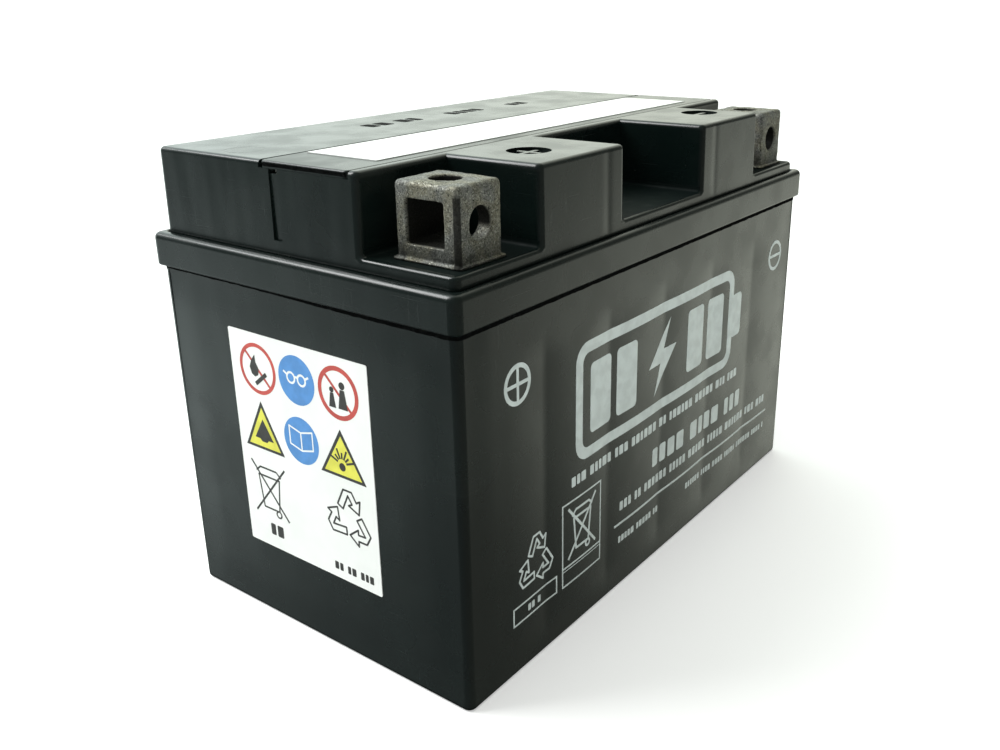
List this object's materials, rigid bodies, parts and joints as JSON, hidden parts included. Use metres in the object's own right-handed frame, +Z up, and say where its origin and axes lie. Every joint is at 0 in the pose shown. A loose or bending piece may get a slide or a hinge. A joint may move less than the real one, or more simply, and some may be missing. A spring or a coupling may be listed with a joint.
{
  "type": "motorcycle battery",
  "caption": "Sealed lead-acid motorcycle battery: black ribbed-rim case, stepped lid with a lift-off seal strip, and cast corner terminals with nut tunnels.",
  "frame": {"origin": "centre of the flat underside", "axes": "+X along the long side towards the negative terminal, -Y is the printed front face with both terminals, +Z up"},
  "size_m": [0.15, 0.087, 0.1051],
  "materials": {
    "container_plastic": "satin-gloss black moulded polypropylene",
    "lid_plastic": "satin-gloss black moulded polypropylene",
    "strip_plastic": "satin black moulded polypropylene",
    "label_white": "white self-adhesive film",
    "print_ink": "pale blue-grey pad-printed ink",
    "ink_black": "black print on the label film",
    "ink_red": "red print on the label film",
    "ink_blue": "blue print on the label film",
    "ink_yellow": "yellow print on the label film",
    "cast_lead": "grainy dull cast lead alloy",
    "sealing_resin": "cast epoxy",
    "porous_filter": "sintered porous plastic",
    "valve_rubber": "soft moulded rubber",
    "positive_paste": "brown lead dioxide paste on a grid",
    "negative_paste": "grey spongy lead paste on a grid",
    "glass_mat": "white absorbent glass mat"
  },
  "bodies": {
    "case": {"container": "container_plastic", "lid": "lid_plastic", "end_label": "label_white", "terminal_positive": "cast_lead", "terminal_negative": "cast_lead", "terminal_bush_positive": "cast_lead", "terminal_bush_negative": "cast_lead", "post_seal_positive": "sealing_resin", "post_seal_negative": "sealing_resin", "vent_filter_positive_end": "porous_filter", "vent_filter_negative_end": "porous_filter", "positive_plates_1": "positive_paste", "negative_plates_1": "negative_paste", "separator_mats_1": "glass_mat", "positive_strap_1": "cast_lead", "negative_strap_1": "cast_lead", "positive_plates_2": "positive_paste", "negative_plates_2": "negative_paste", "separator_mats_2": "glass_mat", "positive_strap_2": "cast_lead", "negative_strap_2": "cast_lead", "positive_plates_3": "positive_paste", "negative_plates_3": "negative_paste", "separator_mats_3": "glass_mat", "positive_strap_3": "cast_lead", "negative_strap_3": "cast_lead", "positive_plates_4": "positive_paste", "negative_plates_4": "negative_paste", "separator_mats_4": "glass_mat", "positive_strap_4": "cast_lead", "negative_strap_4": "cast_lead", "positive_plates_5": "positive_paste", "negative_plates_5": "negative_paste", "separator_mats_5": "glass_mat", "positive_strap_5": "cast_lead", "negative_strap_5": "cast_lead", "positive_plates_6": "positive_paste", "negative_plates_6": "negative_paste", "separator_mats_6": "glass_mat", "positive_strap_6": "cast_lead", "negative_strap_6": "cast_lead"},
    "strip": {"seal_strip": "strip_plastic", "strip_label": "label_white"},
    "valve_1": {"safety_valve_1": "valve_rubber"},
    "valve_2": {"safety_valve_2": "valve_rubber"},
    "valve_3": {"safety_valve_3": "valve_rubber"},
    "valve_4": {"safety_valve_4": "valve_rubber"},
    "valve_5": {"safety_valve_5": "valve_rubber"},
    "valve_6": {"safety_valve_6": "valve_rubber"}
  },
  "joints": [
    {"name": "strip_lift", "type": "slide", "parent": "case", "child": "strip", "axis": [0, 0, 1], "range_m": [0, 0.03]},
    {"name": "valve_lift_1", "type": "slide", "parent": "case", "child": "valve_1", "axis": [0, 0, 1], "range_m": [0, 0.0006], "stiffness_N_per_m": 300},
    {"name": "valve_lift_2", "type": "slide", "parent": "case", "child": "valve_2", "axis": [0, 0, 1], "range_m": [0, 0.0006], "stiffness_N_per_m": 300},
    {"name": "valve_lift_3", "type": "slide", "parent": "case", "child": "valve_3", "axis": [0, 0, 1], "range_m": [0, 0.0006], "stiffness_N_per_m": 300},
    {"name": "valve_lift_4", "type": "slide", "parent": "case", "child": "valve_4", "axis": [0, 0, 1], "range_m": [0, 0.0006], "stiffness_N_per_m": 300},
    {"name": "valve_lift_5", "type": "slide", "parent": "case", "child": "valve_5", "axis": [0, 0, 1], "range_m": [0, 0.0006], "stiffness_N_per_m": 300},
    {"name": "valve_lift_6", "type": "slide", "parent": "case", "child": "valve_6", "axis": [0, 0, 1], "range_m": [0, 0.0006], "stiffness_N_per_m": 300}
  ]
}
